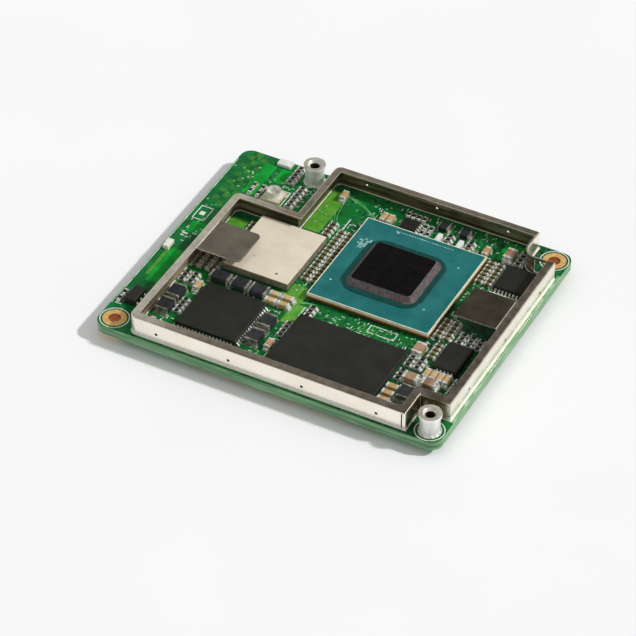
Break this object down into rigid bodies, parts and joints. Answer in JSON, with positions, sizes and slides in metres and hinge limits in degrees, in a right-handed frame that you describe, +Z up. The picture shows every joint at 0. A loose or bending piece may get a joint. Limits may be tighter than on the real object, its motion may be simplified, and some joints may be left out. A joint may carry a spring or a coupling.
{
  "type": "system on module",
  "caption": "Compute module board with a processor, memory, power and radio chips inside an open folded shield fence, threaded spacers on top and board-to-board plugs below.",
  "frame": {"origin": "under the middle of the board, on the plane that the plugs rest on", "axes": "+X along the long front edge, +Y from the front edge to the back edge, +Z up out of the component side"},
  "size_m": [0.048, 0.04, 0.0052],
  "materials": {
    "solder_mask_board": "satin green solder mask over glass-fibre laminate",
    "gold_plating": "polished gold plating",
    "nickel_steel": "turned and nickel plated",
    "tin_sheet": "bright rolled tin plated sheet",
    "solder": "reflowed solder",
    "teal_laminate": "satin teal solder mask",
    "dark_resin": "glossy underfill resin",
    "black_mould": "fine matte moulding compound",
    "grey_mould": "fine matte moulding compound",
    "cream_coat": "satin sprayed shield coating",
    "green_laminate": "satin",
    "tinned_pins": "matte tin plating",
    "brown_ceramic": "matte fired ceramic",
    "dark_ceramic": "matte fired ceramic with dark film",
    "tan_ceramic": "matte fired ceramic",
    "dark_brown_ceramic": "matte fired ceramic",
    "ferrite": "moulded metal powder",
    "white_ceramic": "glazed",
    "lamp_lens": "clear resin over white base",
    "beige_polymer": "moulded",
    "black_polymer": "moulded",
    "gold_contacts": "gold plated"
  },
  "bodies": {
    "root": {"main_board": "solder_mask_board", "hole_platings": "gold_plating", "threaded_spacers": "nickel_steel", "shield_fence": "tin_sheet", "fence_land": "solder", "processor_laminate": "teal_laminate", "processor_resin": "dark_resin", "processor_cap": "black_mould", "processor_balls": "solder", "memory_laminate": "green_laminate", "memory_block": "grey_mould", "memory_balls": "solder", "radio_laminate": "green_laminate", "radio_block": "cream_coat", "power_chip": "grey_mould", "power_chip_pins": "tinned_pins", "interface_chip": "grey_mould", "interface_chip_pins": "tinned_pins", "flash_chip": "grey_mould", "flash_chip_pins": "tinned_pins", "clock_chip": "grey_mould", "clock_chip_pins": "tinned_pins", "switch_chip": "grey_mould", "switch_chip_legs": "tinned_pins", "small_capacitor_bodies": "brown_ceramic", "small_capacitor_ends": "solder", "small_resistor_bodies": "dark_ceramic", "small_resistor_ends": "solder", "medium_capacitor_bodies": "tan_ceramic", "medium_capacitor_ends": "solder", "large_capacitor_bodies": "dark_brown_ceramic", "large_capacitor_ends": "solder", "power_choke_bodies": "ferrite", "power_choke_ends": "solder", "ceramic_filters": "white_ceramic", "chip_antenna": "white_ceramic", "status_lamp": "lamp_lens", "coaxial_socket_base": "beige_polymer", "coaxial_socket_shell": "gold_contacts", "coaxial_socket_pin": "gold_contacts", "plug_1_housing": "black_polymer", "plug_1_contacts": "gold_contacts", "plug_1_anchors": "gold_contacts", "plug_2_housing": "black_polymer", "plug_2_contacts": "gold_contacts", "plug_2_anchors": "gold_contacts", "plug_3_housing": "black_polymer", "plug_3_contacts": "gold_contacts", "plug_3_anchors": "gold_contacts"}
  },
  "joints": []
}
